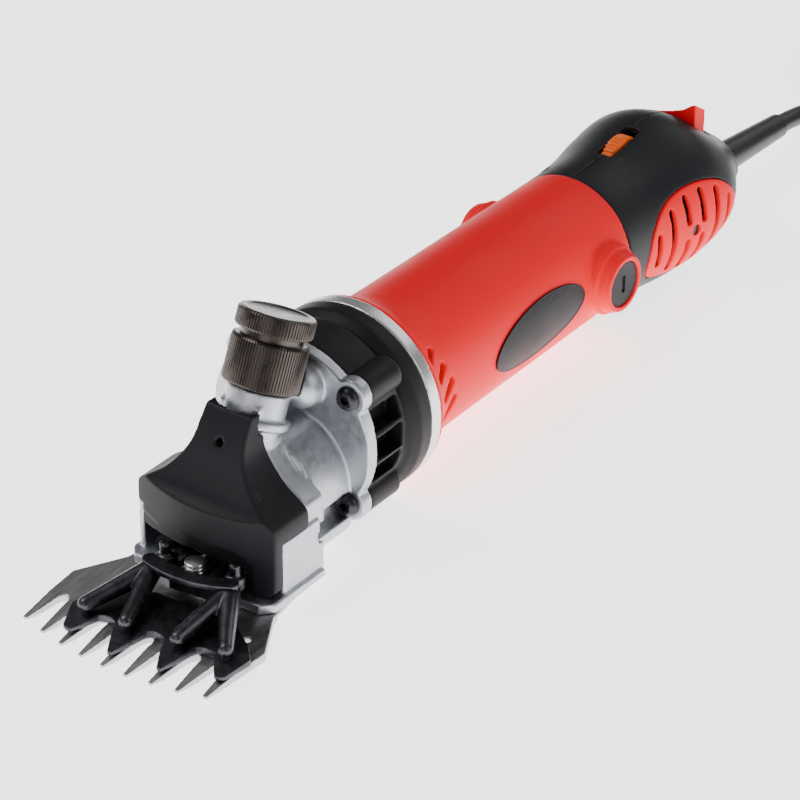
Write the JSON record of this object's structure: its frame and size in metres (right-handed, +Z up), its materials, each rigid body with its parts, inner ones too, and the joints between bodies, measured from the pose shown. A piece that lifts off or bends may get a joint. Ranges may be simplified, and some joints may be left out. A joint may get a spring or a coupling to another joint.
{
  "type": "electric sheep shears",
  "caption": "Hand-held electric sheep shears: red motor barrel, black gearbox, cast head with a swinging fork, toothed comb and cutter, knurled tension knob and mains cord.",
  "frame": {"origin": "centre of the box around the shears, on the surface that they lie on: the comb's flat underside is at z = 0", "axes": "+Y runs from the comb to the cord along the tool, +X to the right seen from the comb, +Z up; the barrel's axis leans 1.83 degrees down to the rear"},
  "size_m": [0.1298, 0.5881, 0.0938],
  "materials": {
    "red_plastic": "satin moulded",
    "black_plastic": "fine textured",
    "charcoal_plastic": "fine textured",
    "cast_aluminium": "blasted casting",
    "turned_aluminium": "brushed",
    "blade_steel": "ground",
    "black_steel": "black oxide, polished",
    "knurled_steel": "dark nickel",
    "screw_steel": "black oxide",
    "bright_steel": "ground",
    "orange_plastic": "gloss",
    "gear_steel": "cut gear",
    "laminated_steel": "stacked sheet",
    "copper": "enamelled wire",
    "brass": "turned",
    "carbon": "graphite",
    "fan_plastic": "moulded",
    "rubber": "satin",
    "board": "varnished",
    "screen_mesh": "woven wire",
    "nameplate": "satin label"
  },
  "bodies": {
    "housing": {"comb": "blade_steel", "comb_screws": "screw_steel", "fork_pivot_post": "bright_steel", "tension_spring": "bright_steel", "head_casting": "cast_aluminium", "head_cover": "black_plastic", "head_screws": "screw_steel", "gearbox_housing": "black_plastic", "bearing_plate": "turned_aluminium", "gearbox_screws": "screw_steel", "crank_bearing_outers": "bright_steel", "barrel_housing": "red_plastic", "stator_core": "laminated_steel", "field_windings": "copper", "fan_baffle": "fan_plastic", "motor_bearing_outers": "bright_steel", "brush_holders": "brass", "carbon_brushes": "carbon", "brush_springs": "bright_steel", "brush_caps": "black_plastic", "nameplates": "nameplate", "rear_shell_left": "charcoal_plastic", "rear_shell_right": "charcoal_plastic", "vent_grille_left": "red_plastic", "vent_grille_right": "red_plastic", "dust_screens": "screen_mesh", "grille_screws": "screw_steel", "tail_screws": "screw_steel", "speed_module": "board", "switch_body": "black_plastic", "cord_clamp": "black_plastic", "cord_guard": "rubber", "power_cord": "rubber", "cord_coil": "rubber", "cord_tie": "rubber", "plug": "rubber", "plug_pins": "brass"},
    "motor": {"motor_shaft": "bright_steel", "motor_pinion": "gear_steel", "armature_core": "laminated_steel", "armature_winding": "copper", "commutator": "copper", "cooling_fan": "fan_plastic", "motor_bearing_inners": "bright_steel"},
    "crank": {"crankshaft": "bright_steel", "crank_gear": "gear_steel", "crank_bearing_inners": "bright_steel"},
    "fork": {"fork": "black_steel", "yoke_left": "black_steel", "yoke_right": "black_steel", "yoke_strip": "black_steel", "yoke_post": "bright_steel", "cutter": "black_steel", "crank_roller": "bright_steel"},
    "tension_pin": {"tension_pin": "bright_steel"},
    "tension_nut": {"tension_nut": "knurled_steel"},
    "lock_cap": {"lock_cap": "knurled_steel"},
    "switch_button": {"switch_button": "red_plastic"},
    "speed_dial": {"speed_dial": "orange_plastic"}
  },
  "joints": [
    {"name": "crank_spin", "type": "hinge", "parent": "housing", "child": "crank", "pos_m": [0, -0.05684, 0.02178], "axis": [0, 0.9995, -0.0319], "continuous": true},
    {"name": "motor_spin", "type": "hinge", "parent": "housing", "child": "motor", "pos_m": [0, 0.00158, 0.03392], "axis": [0, 0.9995, -0.0319], "continuous": true},
    {"name": "fork_swing", "type": "hinge", "parent": "housing", "child": "fork", "pos_m": [0, -0.1009, 0.0152], "axis": [0, 0, 1], "range_deg": [-14.4, 0]},
    {"name": "pin_lift", "type": "slide", "parent": "housing", "child": "tension_pin", "axis": [0, 0.4357, 0.9001], "range_m": [0, 0.003]},
    {"name": "nut_turn", "type": "hinge", "parent": "tension_pin", "child": "tension_nut", "pos_m": [0, -0.09414, 0.06309], "axis": [0, 0.4357, 0.9001], "range_deg": [0, 540]},
    {"name": "cap_turn", "type": "hinge", "parent": "tension_nut", "child": "lock_cap", "pos_m": [0, -0.09414, 0.06309], "axis": [0, 0.4357, 0.9001], "range_deg": [0, 180]},
    {"name": "switch_rock", "type": "hinge", "parent": "housing", "child": "switch_button", "pos_m": [0, 0.16091, 0.04184], "axis": [0, 0.9995, -0.0319], "range_deg": [0, 10]},
    {"name": "dial_turn", "type": "hinge", "parent": "housing", "child": "speed_dial", "pos_m": [0, 0.12215, 0.04988], "axis": [1, 0, 0], "range_deg": [0, 270]}
  ],
  "couplings": [
    {"joint": "motor_spin", "follows": "crank_spin", "ratio": -3.4444},
    {"joint": "nut_turn", "follows": "pin_lift", "rad_per_m": 3141.6}
  ]
}
